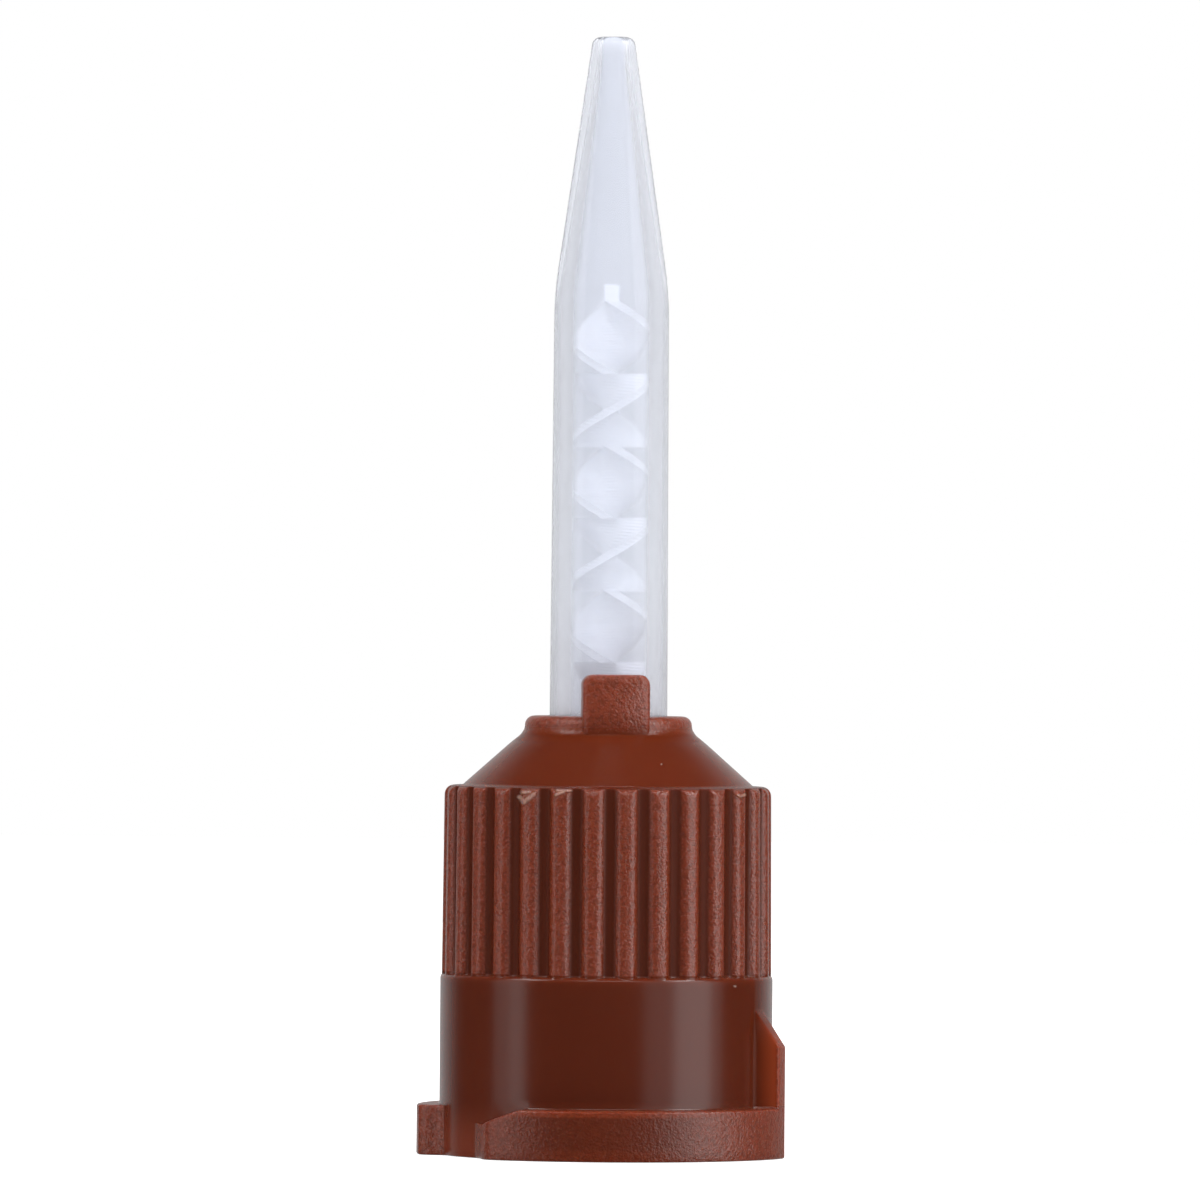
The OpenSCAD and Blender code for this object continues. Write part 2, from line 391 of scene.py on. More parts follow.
def stroke(shader, along, up, start, end, width):
    """1 on a straight stroke between two points of the surface and 0 away from it.

    The distance is that to the nearest point of the stroke, whose place along it is clamped to its ends."""
    run = end[0] - start[0]
    rise = end[1] - start[1]
    from_x = shader.minus(along, start[0])
    from_z = shader.minus(up, start[1])
    dot = shader.plus(shader.times(from_x, run), shader.times(from_z, rise))
    part = shader.math("DIVIDE", dot, run * run + rise * rise)
    part = shader.least(shader.most(part, 0.0), 1.0)
    off_x = shader.minus(from_x, shader.times(part, run))
    off_z = shader.minus(from_z, shader.times(part, rise))
    return shader.ramp(shader.hypot(off_x, off_z), 0.15 * width, width, 1.0, 0.0)


def nick_mask(shader, x, y, z):
    """The small nicks and specks on the collar's front, with frayed edges."""
    mask = None
    for start, end, width in NICKS:
        ends = [tuple(value * MM for value in point) for point in (start, end)]
        mark = stroke(shader, x, z, *ends, width * MM)
        mask = mark if mask is None else shader.most(mask, mark)
    frayed = shader.plus(0.45, shader.noise(9000.0, detail=2.0))
    mask = shader.least(shader.times(mask, frayed), 1.0)
    return shader.times(mask, shader.ramp(y, -1.0 * MM, 0.0, 1.0, 0.0))


def collar_zones(shader, settings, x, z, radius):
    """Masks of the collar's surface: each is 1 in its zone and 0 outside it, with a soft border."""
    groove = RIB_RADIUS * MM - settings.rib_depth
    skirt = settings.skirt_height
    grip = settings.grip_top
    lug = LUG_HEIGHT * MM
    zones = SimpleNamespace()
    band = shader.ramp(z, skirt, skirt + 0.1 * MM)
    band = shader.times(band, shader.ramp(z, grip - 0.1 * MM, grip + 0.05 * MM, 1.0, 0.0))
    zones.ribs = shader.times(band, shader.ramp(radius, groove, groove + 0.09 * MM))
    zones.grooves = shader.minus(band, zones.ribs)
    outer = settings.skirt_radius
    zones.outside = shader.ramp(radius, outer + 0.01 * MM, outer + 0.08 * MM)
    low = shader.ramp(z, lug + 0.02 * MM, lug + 0.1 * MM, 1.0, 0.0)
    zones.upper = shader.minus(1.0, low)
    zones.lugs = shader.times(zones.outside, low)
    zones.top = shader.ramp(z, (CONE_TOP - 0.15) * MM, (CONE_TOP + 0.3) * MM)
    fin_edge = shader.ramp(radius, (LUG_RADIUS - 0.12) * MM, (LUG_RADIUS - 0.04) * MM)
    fin_edge = shader.times(shader.times(fin_edge, zones.upper), zones.outside)
    # the grain is on the ribs, the lugs, the ring with its tab, and the fin's outer edge
    zones.grain = shader.most(shader.most(zones.ribs, zones.lugs), shader.most(zones.top, fin_edge))
    # the front lug's middle is calmer than its ends
    middle = shader.ramp(shader.math("ABSOLUTE", x), 0.5 * MM, 3.8 * MM, 1.0, 0.0)
    zones.calm = shader.times(zones.lugs, middle)
    near_rim = shader.ramp(z, 0.1 * MM, 2.1 * MM, 1.0, 0.0)
    zones.near_rim = shader.times(near_rim, shader.minus(1.0, zones.outside))
    return zones


def collar_painted_light(shader, settings, zones, x, z, radius):
    """Share of a brighter, warmer copy of the colour: painted light on the rib crests, the lugs, the fin, the
    ring with its tab, and the skirt near its rim.
    """
    lug = LUG_HEIGHT * MM
    # painted light: the lugs are lighter towards their sides, with a painted highlight along their top edge and
    # lighter feet
    side = shader.ramp(shader.math("ABSOLUTE", x), 1.8 * MM, 4.6 * MM, 0.12, 0.6)
    rim = shader.times(zones.lugs, shader.ramp(z, lug - 0.28 * MM, lug - 0.16 * MM))
    foot = shader.times(zones.lugs, shader.ramp(z, 0.2 * MM, 0.6 * MM, 1.0, 0.0))
    fin = shader.ramp(radius, settings.skirt_radius, LUG_RADIUS * MM, 0.0, 0.9)
    fin = shader.times(shader.times(fin, zones.outside), zones.upper)
    shares = (
        (zones.lugs, side),
        (rim, 0.55),
        (foot, 0.35),
        (fin, 0.9),
        (zones.top, 0.7),
        (zones.near_rim, 0.4),
    )
    painted_light = shader.times(zones.ribs, 0.5)
    for zone, share in shares:
        painted_light = shader.most(painted_light, shader.times(zone, share))
    return painted_light


def collar_shine(shader, zones, x, y, z):
    """Specular level: high on the grain, and low in the grooves and at the feet of the ring and the fin."""
    hollow = shader.ramp(x, FIN_FOOT_SIDE * MM, (FIN_FOOT_SIDE + 0.1) * MM)
    hollow = shader.times(hollow, shader.ramp(z, LUG_HEIGHT * MM, (LUG_HEIGHT + 0.1) * MM))
    near_face = shader.math("ABSOLUTE", shader.plus(y, (FIN_FRONT + 0.1) * MM))
    hollow = shader.times(hollow, shader.ramp(near_face, 0.1 * MM, 0.2 * MM, 1.0, 0.0))
    neck = shader.ramp(z, CONE_NECK_HEIGHT * MM, (CONE_NECK_HEIGHT + 0.12) * MM)
    neck = shader.times(neck, shader.minus(1.0, zones.top))
    dull = shader.most(shader.most(zones.grooves, hollow), neck)
    shine = shader.plus(shader.ramp(dull, 0.0, 1.0, 0.5, 0.12), shader.times(zones.grain, 0.32))
    return shader.minus(shine, shader.times(zones.calm, 0.5))


def brown_plastic(settings):
    """Brown moulded plastic: fine grain where the mould was eroded, and smooth on the skirt and cone."""
    shader = Shader("Brown moulded plastic")
    x, y, z = shader.split(shader.place())
    radius = shader.hypot(x, y)
    zones = collar_zones(shader, settings, x, z, radius)

    fine = shader.noise(13000.0, detail=2.0, roughness=0.6)
    coarse = shader.noise(6500.0, detail=1.0, roughness=0.4)
    texture = shader.plus(shader.times(fine, 0.5), shader.times(coarse, 0.5))
    waviness = shader.noise(420.0, detail=1.0, stretch=(1.0, 1.0, 0.35))
    nick = nick_mask(shader, x, y, z)
    bumped = shader.bump(shader.times(texture, zones.grain), settings.grain)
    bumped = shader.bump(waviness, 0.02 * MM, 0.2, bumped)
    bumped = shader.bump(fine, 0.002 * MM, 0.4, bumped)
    bumped = shader.bump(nick, 0.05 * MM, 1.0, bumped)
    shader.set("Normal", bumped)

    plain = settings.plastic
    skirt = settings.skirt_height
    cloud = shader.noise(260.0, detail=3.0)
    colour = shader.tint(cloud, opaque(plain, 0.88), opaque(plain, 1.12))
    shade = shader.ramp(z, skirt - 0.3 * MM, skirt, 0.45, 0.0)
    colour = shader.tint(shade, colour, opaque(plain, 0.5))
    # painted light: a brighter, warmer copy of the colour on thin and outstanding parts
    painted_light = collar_painted_light(shader, settings, zones, x, z, radius)
    colour = shader.tint(painted_light, colour, opaque((plain[0] * 2.2, plain[1] * 2.2, plain[2] * 2.0)))
    # painted shade: the grooves between the ribs are darkened
    colour = shader.tint(shader.times(zones.grooves, 0.9), colour, opaque(plain, 0.58))
    pit = shader.times(shader.ramp(coarse, 0.38, 0.52, 1.0, 0.0), zones.grain)
    colour = shader.tint(shader.times(pit, 0.4), colour, opaque(plain, 0.8))
    # pale specks on the grain, partly its own tone and partly painted glints, fewer in the lug's calm middle,
    # with a painted lighter sheen near the skirt's bottom rim
    speck = shader.times(shader.ramp(fine, 0.54, 0.68), zones.grain)
    specks_and_painted_sheen = shader.times(speck, shader.minus(1.0, shader.times(zones.calm, 0.8)))
    specks_and_painted_sheen = shader.most(shader.times(specks_and_painted_sheen, 0.4), shader.times(zones.near_rim, 0.12))
    colour = shader.tint(specks_and_painted_sheen, colour, opaque(tuple(1.8 * c + 0.06 for c in plain)))
    colour = shader.tint(shader.times(nick, 0.6), colour, opaque(settings.whitened))
    shader.set("Base Color", colour)

    rough = shader.ramp(zones.grain, 0.0, 1.0, 0.2, 0.28)
    rough = shader.plus(rough, shader.times(zones.grooves, 0.25))
    rough = shader.plus(rough, shader.times(shader.minus(cloud, 0.5), 0.08))
    shader.set("Roughness", rough)
    shader.set("Specular IOR Level", collar_shine(shader, zones, x, y, z))
    shader.set("Subsurface Weight", 0.4)
    shader.set("Subsurface Radius", (1.0, 0.28, 0.1))
    shader.set("Subsurface Scale", 0.6 * MM)
    return shader.material


def cloudy_plastic(settings):
    """Cloudy plastic: rough clear plastic with a part that scatters light.

    The bore is rougher than the outside, so what touches it shows more clearly than what lies deeper."""
    shader = Shader("Cloudy translucent plastic")
    x, y, z = shader.split(shader.place())
    up = shader.most(shader.minus(z, TAPER_START * MM), 0.0)
    middle = shader.minus(WALL_MIDDLE * MM, shader.times(up, WALL_TAPER))
    from_middle = shader.minus(shader.hypot(x, y), middle)
    waves = shader.noise(900.0, detail=2.0, stretch=(1.0, 1.0, 0.15))
    fine = shader.noise(7000.0, detail=2.0)
    bumped = shader.bump(waves, 0.01 * MM, 0.12)
    bumped = shader.bump(fine, 0.0025 * MM, 0.2, bumped)
    shader.set("Normal", bumped)
    # painted shade with a painted brown reflection: just above the collar the plastic's colour is a little
    # darker and warmer
    near_collar = shader.ramp(z, 15.2 * MM, 19.5 * MM, 1.0, 0.0)
    muted = tuple(c * share for c, share in zip(settings.tint, (0.917, 0.905, 0.91)))
    shader.set("Base Color", shader.tint(near_collar, opaque(settings.tint), opaque(muted)))
    shader.set("Roughness", shader.ramp(from_middle, -0.1 * MM, 0.1 * MM, 0.25, 0.12))
    shader.set("IOR", 1.42)
    shader.set("Transmission Weight", shader.ramp(from_middle, -0.1 * MM, 0.1 * MM, 0.92, 0.84))
    return shader.material


def white_plastic(settings):
    """White moulded plastic with a soft gloss and a faint unevenness."""
    shader = Shader("White moulded plastic")
    cloud = shader.noise(700.0, detail=2.0)
    shader.set("Base Color", shader.tint(cloud, opaque(settings.plastic, 0.95), opaque(settings.plastic)))
    shader.set("Roughness", 0.42)
    shader.set("Subsurface Weight", 0.2)
    shader.set("Subsurface Radius", (1.0, 0.95, 0.9))
    shader.set("Subsurface Scale", 0.4 * MM)
    shader.set("Normal", shader.bump(shader.noise(6000.0), 0.003 * MM, 0.6))
    return shader.material


# Collar

# Nicks on the collar's front: two ends in x and z, and the width
NICKS = (
    ((-2.98, 12.2), (-2.84, 12.03), 0.12),
    ((-2.84, 12.03), (-2.5, 12.3), 0.13),
    ((-2.9, 12.36), (-2.66, 12.38), 0.1),
    ((-1.75, 12.3), (-1.5, 12.42), 0.1),
    ((-1.7, 12.45), (-1.25, 12.44), 0.08),
    ((4.38, 12.33), (4.46, 12.27), 0.08),
    ((4.46, 12.27), (4.62, 12.31), 0.08),
    ((1.79, 13.34), (1.8, 13.34), 0.045),
    ((4.33, 5.86), (4.35, 5.86), 0.06),
)
# Lugs and fin, with the view angles of the lugs' ends
LUG_RADIUS = 6.42
LUG_HEIGHT = 1.7
FRONT_LEAD = -40.0
REAR_LEAD = 168.0
REAR_TRAIL = 280.0
LEAD_SKEW = 9.5
TRAIL_SKEW = 5.0
RAMP_ANGLE = 12.7
RAMP_DROP = 0.45
FIN_BACK = 2.04
FIN_FRONT = 2.64
FIN_HEIGHT = 3.78
FIN_ROOT_HEIGHT = 5.06
FIN_FOOT_SIDE = 4.75
# View angles between which the outline of the front lug is the fin's
FIN_ZONE = (64.0, 90.0)
# Ribs of the grip band, whose section is measured at the reference radius
RIB_RADIUS = 5.6
RIB_PHASE = 6.9
RIB_WIDTH = 0.74
RIB_ROUND = 0.31
RIB_STEEPEST = 55.0
GRIP_DRAFT = 0.05
RIB_REFERENCE = 5.5
# Rounded edges, corners and feet
EDGE = 0.16
EDGE_ROWS = 6
CORNER_BLEND = 0.34
LEAD_FOOT = 0.2
TRAIL_FOOT = 0.34
SMALL_EDGE = 0.08
# Inside of the collar
MOUTH_RADIUS = 4.8
MOUTH_DEPTH = 4.4
SEAT_RADIUS = 4.6
BEAD_RADIUS = 0.24
BEAD_CENTRE = 4.67
BEAD_HEIGHT = 4.76
LEDGE_RADIUS = 4.1
LEDGE_HEIGHT = 10.1
ROOF_HEIGHT = 13.62
BEARING_RADIUS = 2.065
STOP_ANGLES = (169.6, 280.4)
STOP_TOP = 11.0
STOP_HALF = 0.25
KEY_INNER = 3.37
# Cone, ring and tab
CONE_WALL = 1.15
CONE_BASE_RADIUS = 4.95
CONE_NECK_RADIUS = 3.32
CONE_NECK_HEIGHT = 14.0
CONE_TOP = 14.35
RING_RADIUS = 2.84
RING_TOP = 14.92
TAB_WIDTH = 2.28
TAB_RADIUS = 3.1
TAB_THICKNESS = 0.85
TAB_CORNER = 0.36
TAB_ANGLE = 5.5
TAB_FOOT = 14.05
TAB_MIDDLE = 15.1


def rib_section(depth, count):
    """Half a rib from its crest to the middle of the groove, as offset across and height above the groove.

    The crest is a short flat with a round edge on each side. A hollow curve of the opposite turn leads from
    the edge's steepest point into the groove, in the height that is left."""
    pitch = 2 * math.pi * RIB_REFERENCE / count
    flat = RIB_WIDTH / 2 - RIB_ROUND
    steep = math.radians(RIB_STEEPEST)
    edge = arc(flat, depth - RIB_ROUND, RIB_ROUND, 90, 90 - RIB_STEEPEST, 8)
    left = edge[-1, 1]
    hollow = left / (1 - math.cos(steep))
    foot = arc(edge[-1, 0] + hollow * math.sin(steep), hollow, hollow, 270 - RIB_STEEPEST, 270, 6)[1:]
    half_pitch = 0.5 * pitch
    floor = [[half_pitch, -0.001]]
    return np.vstack([[[0.0, depth]], edge, foot, floor])


def collar_columns(skirt, depth, count):
    """View angles of the collar's columns: the ribs' section, and closer ones at lug ends and fin."""
    across = rib_section(depth, count)[:, 0]
    half = np.degrees(across / RIB_REFERENCE)
    one = np.unique(np.round(np.concatenate([-half, half]), 4))[1:]
    ribs = (RIB_PHASE + np.arange(count)[:, None] * 360.0 / count + one[None, :]).ravel()
    # a column every 0.6 degrees round each end of a lug
    leads = [np.arange(lead - LEAD_SKEW - 3.0, lead + 3.0, 0.6) for lead in (FRONT_LEAD, REAR_LEAD)]
    corners = np.concatenate([*leads, np.arange(REAR_TRAIL - 3.0, REAR_TRAIL + TRAIL_SKEW + 3.0, 0.6)])
    fin = np.degrees(np.arccos(fin_faces()[0] / skirt))
    everything = np.mod(np.concatenate([ribs, corners, fin]) + 180.0, 360.0) - 180.0
    everything = np.sort(everything)
    # the fin's own columns stay, and others that come too near them go
    kept = np.ones(len(everything), bool)
    gap = np.diff(everything)
    is_fin = np.isin(np.round(everything, 6), np.round(np.mod(fin + 180.0, 360.0) - 180.0, 6))
    close = np.flatnonzero(gap < 0.2)
    for index in close:
        if is_fin[index] and is_fin[index + 1]:
            continue
        kept[index + 1 if is_fin[index] else index] = False
    return everything[kept]


def fin_faces():
    """The fin across its thickness: distances in front of the axis, and the share of its full reach there."""
    root = 0.05
    edge = 0.05
    # in front, a fillet of 0.3 mm between the skirt and the fin's face
    front = FIN_FRONT + np.array([0.16, 0.1, 0.06, 0.03, 0.012, 0.004, -0.002, -edge * 0.35, -edge])
    front_reach = np.array([0.0, 0.009, 0.035, 0.074, 0.117, 0.153, 0.93, 0.98, 1.0])
    back = FIN_BACK + np.array([edge, edge * 0.35, 0.002, -0.006, -root * 0.4, -root - 0.02])
    back_reach = np.array([1.0, 0.98, 0.93, 0.06, 0.015, 0.0])
    return np.concatenate([front, back]), np.concatenate([front_reach, back_reach])


def fin_cover(angle, skirt):
    """How much of the fin's reach a column at this view angle has."""
    place, reach = fin_faces()
    ahead = skirt * np.cos(np.radians(angle))
    cover = np.interp(ahead, place[::-1], reach[::-1])
    # columns on the left lie as far in front of the axis, but no fin is there
    return np.where((angle > 50) & (angle < 80), cover, 0.0)


def end_line(angle, outer, root, skirt):
    """Radius of the straight line, seen from above, from a lug's outer corner to its root on the skirt."""
    x0, y0 = at(root, skirt)
    x1, y1 = at(outer, LUG_RADIUS)
    x, y = at(angle, 1.0)
    across = x * (y1 - y0) - y * (x1 - x0)
    return (x0 * y1 - y0 * x1) / np.where(np.abs(across) < 1e-9, 1e-9, across)


def lower_of(a, b, width):
    """The lower of two values, with a rounded change-over of a given width."""
    share = np.clip(0.5 + 0.5 * (b - a) / width, 0.0, 1.0)
    return b + (a - b) * share - width * share * (1.0 - share)


def lug_end(angle, outer, root, skirt, foot):
    """Radius of a lug's plan at one end: its circle cut by the end face, with a round corner and foot.

    The face's line holds to 8 degrees past either end of it, and beyond that the lug is full or gone."""
    face = end_line(angle, outer, root, skirt)
    ahead = 1.0 if outer > root else -1.0
    face = np.where((angle - root) * ahead < -8.0, skirt - 1.0, face)
    face = np.where((angle - outer) * ahead > 8.0, LUG_RADIUS + 1.0, face)
    cut = lower_of(face, LUG_RADIUS, CORNER_BLEND)
    return -lower_of(-cut, -skirt, foot)


def lug_plan(angle, skirt):
    """Radius of the lugs' plan at each view angle; the front lug ends at the fin's rear face."""
    turn = np.mod(angle, 360.0)
    front = lug_end(angle, FRONT_LEAD, FRONT_LEAD - LEAD_SKEW, skirt, LEAD_FOOT)
    front = np.where(angle < FIN_ZONE[0], front, skirt)
    at_fin = (angle >= FIN_ZONE[0]) & (angle < FIN_ZONE[1])
    front = np.where(at_fin, skirt + (LUG_RADIUS - skirt) * fin_cover(angle, skirt), front)
    lead = lug_end(turn, REAR_LEAD, REAR_LEAD - LEAD_SKEW, skirt, LEAD_FOOT)
    trail = lug_end(turn, REAR_TRAIL, REAR_TRAIL + TRAIL_SKEW, skirt, TRAIL_FOOT)
    rear = np.where((turn > 120.0) & (turn < 320.0), np.minimum(lead, trail), skirt)
    return np.maximum(skirt, np.maximum(front, rear))


def lug_top(angle):
    """Height of the lugs' top: level, with a straight ramp down towards each leading end."""
    turn = np.mod(angle, 360.0)
    front = np.maximum(0.0, (FRONT_LEAD + RAMP_ANGLE - angle) / RAMP_ANGLE)
    rear = np.maximum(0.0, (REAR_LEAD + RAMP_ANGLE - turn) / RAMP_ANGLE)
    drop = np.where((turn > 140) & (turn < 300), rear, np.where(angle > -60, front, 0.0))
    return LUG_HEIGHT - RAMP_DROP * np.minimum(drop, 1.15)


def fan_direction(angle):
    """View angle of the way in which a column reaches out: radial, but straight along +X round the fin."""
    turned = angle + (90.0 - angle) * smooth(angle, 48.0, 60.0)
    return np.where((angle > 48.0) & (angle < 90.0), turned, angle)


def reach_out(angle, radius, skirt):
    """Points that start on the skirt and go out along fan_direction until they are at a given radius."""
    base_x, base_y = at(angle, skirt)
    way_x, way_y = at(fan_direction(angle), 1.0)
    along = base_x * way_x + base_y * way_y
    step = -along + np.sqrt(along**2 + radius**2 - skirt**2)
    return base_x + step * way_x, base_y + step * way_y


def skirt_rows(angle, skirt, skirt_height):
    """The skirt with its lugs and fin, as rows of radius and height from the floor up.

    Each row has a share of the lug's reach, an inset and a height, and the rows gather at the lug's top edge.
    Where no lug is, a row's reach is nothing and it stays on the skirt."""
    plan = lug_plan(angle, skirt)
    top = lug_top(angle)
    cover = fin_cover(angle, skirt)
    # heights round the lower edge, shares of the way up the side, the upper edge, and reaches back over the top
    low = np.array([0.0, 0.018, 0.06])
    climb = np.linspace(0.0, 1.0, 6)[1:]
    edge = arc(-SMALL_EDGE, -SMALL_EDGE, SMALL_EDGE, 0, 90, 5)
    over = [0.72, 0.36, 0.12, 0.04, 0.0, 0.0]
    share = np.array([1.0] * (len(low) + len(climb) + len(edge)) + over)
    inset = np.concatenate([low[::-1], np.zeros(len(climb)), -edge[:, 0], np.zeros(len(over))])
    height = np.vstack(
        [np.broadcast_to(low[:, None], (len(low), len(angle)))]
        + [low[2] + (top - 0.2 - low[2]) * part for part in climb]
        + [top + drop for drop in edge[:, 1]]
        + [top, top, top + 0.004, top + 0.025, top + 0.09]
        + [np.full(len(angle), 2.05)]
    )
    reach = (plan - skirt) * np.maximum(share[:, None], cover)
    bottom = np.where(np.arange(len(share)) < len(low), 1.0, 0.0)[:, None]
    rounded = smooth(plan - skirt, 0.0, 0.2) * (cover < 0.5)
    rows_radius = skirt + reach - inset[:, None] * np.maximum(bottom, rounded)

    fin_levels = np.array([2.5, 3.1, 3.5, 3.7, 3.76, 3.8, 3.86, 4.2, 4.6, 4.9, 5.03, 5.09, 5.2, 5.6])
    # full reach up to the fin's height, and then a straight slope down to its root
    rise = np.clip((FIN_ROOT_HEIGHT - fin_levels) / (FIN_ROOT_HEIGHT - FIN_HEIGHT), 0.0, 1.0)
    fin_radius = skirt + (LUG_RADIUS - skirt) * cover * rise[:, None]
    fin_height = np.broadcast_to(fin_levels[:, None], fin_radius.shape)

    rounding = arc(skirt - EDGE, skirt_height - EDGE, EDGE, 0, 90, EDGE_ROWS)
    top_radius = np.broadcast_to(rounding[:, :1], (EDGE_ROWS, len(angle)))
    top_height = np.broadcast_to(rounding[:, 1:], (EDGE_ROWS, len(angle)))
    radius = np.vstack([rows_radius, fin_radius, top_radius])
    return radius, np.vstack([height, fin_height, top_height])


def rib_lift(angle, depth, count):
    """Height of the rib's section above the groove at each view angle."""
    section = rib_section(depth, count)
    pitch = 360.0 / count
    offset = np.abs(np.mod(angle - RIB_PHASE + pitch / 2, pitch) - pitch / 2)
    return np.interp(np.radians(offset) * RIB_REFERENCE, section[:, 0], section[:, 1])


def rib_rows(angle, skirt, skirt_height, grip_top, depth, count):
    """The ribbed band and its rounded top, as rows of radius and height."""
    foot = RIB_RADIUS - depth + rib_lift(angle, depth, count)
    levels = np.concatenate(
        [
            skirt_height + np.array([0.0, 0.012, 0.04, 0.12]),
            np.linspace(skirt_height + 0.6, grip_top - 0.7, 7),
            grip_top - np.array([0.55, 0.45]),
        ]
    )
    fillet = np.array([0.045, 0.018, 0.004] + [0.0] * (len(levels) - 3))
    draft = GRIP_DRAFT * (levels - skirt_height) / (grip_top - skirt_height)
    lift = (foot - RIB_RADIUS + depth) / depth
    radius = foot[None, :] + fillet[:, None] * (foot < RIB_REFERENCE) - draft[:, None] * lift
    edge = 2 * EDGE
    rounding = arc(RIB_RADIUS - GRIP_DRAFT - edge, grip_top - edge, edge, 0, 90, 8)
    crest = np.minimum(radius[-1][None, :], rounding[:, :1])
    radius = np.vstack([radius, crest])
    height = np.concatenate([levels, rounding[:, 1]])
    return radius, np.broadcast_to(height[:, None], radius.shape)


def shoulder_profile(grip_top):
    """Ledge, cone, ring and the ring's rounded top, then the inside of the collar down to the mouth."""
    ring_round = 2 * EDGE
    slope = (CONE_NECK_HEIGHT - grip_top) / (CONE_BASE_RADIUS - CONE_NECK_RADIUS)
    cone_r = np.linspace(CONE_BASE_RADIUS - 0.08, CONE_NECK_RADIUS + 0.05, 7)
    cone = np.column_stack([cone_r, grip_top + (CONE_BASE_RADIUS - cone_r) * slope])
    roof_r = CONE_BASE_RADIUS - (ROOF_HEIGHT + CONE_WALL - grip_top) / slope
    inner_cone_z = grip_top - CONE_WALL + slope * (CONE_BASE_RADIUS - LEDGE_RADIUS)
    outside = [
        [[5.1, grip_top], [CONE_BASE_RADIUS + 0.05, grip_top], [CONE_BASE_RADIUS - 0.02, grip_top + 0.02]],
        cone,
        [
            [CONE_NECK_RADIUS - 0.04, CONE_NECK_HEIGHT + 0.03],
            [3.17, 14.12],
            [3.05, 14.215],
            [2.985, 14.275],
            [2.94, 14.33],
            [2.905, 14.385],
            [2.87, 14.44],
            [RING_RADIUS + 0.01, 14.5],
            [RING_RADIUS, 14.57],
        ],
        arc(RING_RADIUS - ring_round, RING_TOP - ring_round, ring_round, 0, 90, 7),
        [[2.3, RING_TOP]],
        arc(BEARING_RADIUS + 0.06, RING_TOP - 0.06, 0.06, 90, 180, 4),
    ]
    inside = [
        [[BEARING_RADIUS, ROOF_HEIGHT + 0.6], [BEARING_RADIUS, ROOF_HEIGHT], [2.5, ROOF_HEIGHT]],
        [[roof_r, ROOF_HEIGHT], [LEDGE_RADIUS, inner_cone_z], [LEDGE_RADIUS, LEDGE_HEIGHT]],
        [[SEAT_RADIUS, LEDGE_HEIGHT], [SEAT_RADIUS, 7.4], [SEAT_RADIUS, BEAD_HEIGHT + 0.23]],
        arc(BEAD_CENTRE, BEAD_HEIGHT, BEAD_RADIUS, 110, 250, 9),
        [[SEAT_RADIUS, MOUTH_DEPTH + 0.1], [SEAT_RADIUS, MOUTH_DEPTH], [MOUTH_RADIUS, MOUTH_DEPTH]],
        [[MOUTH_RADIUS, 2.2], [MOUTH_RADIUS, 0.08], [MOUTH_RADIUS + 0.03, 0.02], [MOUTH_RADIUS + 0.1, 0.0]],
        [[5.3, 0.0]],
    ]
    return np.vstack([np.array(part, float) for part in outside + inside])


def collar_grid(settings):
    """The moulding without tab and stop ribs: rows go up the outside, over the ring and down the inside."""
    skirt = settings.skirt_radius / MM
    skirt_height = settings.skirt_height / MM
    grip_top = settings.grip_top / MM
    depth = settings.rib_depth / MM
    angle = collar_columns(skirt, depth, settings.rib_count)
    skirt_r, skirt_z = skirt_rows(angle, skirt, skirt_height)
    rib_r, rib_z = rib_rows(angle, skirt, skirt_height, grip_top, depth, settings.rib_count)
    # on the skirt's rounded top edge a rib's crest stands further out than the edge itself
    skirt_r[-EDGE_ROWS:] = np.maximum(skirt_r[-EDGE_ROWS:], np.minimum(rib_r[0], skirt - 0.05))
    shoulder = shoulder_profile(grip_top)
    out_x, out_y = reach_out(angle[None, :], np.maximum(skirt_r, skirt), skirt)
    plain_x, plain_y = at(angle[None, :], skirt_r)
    beyond = skirt_r > skirt
    lower = np.stack([np.where(beyond, out_x, plain_x), np.where(beyond, out_y, plain_y), skirt_z], axis=2)
    rib_x, rib_y = at(angle[None, :], rib_r)
    middle = np.stack([rib_x, rib_y, rib_z], axis=2)
    upper_x, upper_y = at(angle[None, :], shoulder[:, :1])
    upper_z = np.broadcast_to(shoulder[:, 1:], upper_x.shape)
    return np.vstack([lower, middle, np.stack([upper_x, upper_y, upper_z], axis=2)])


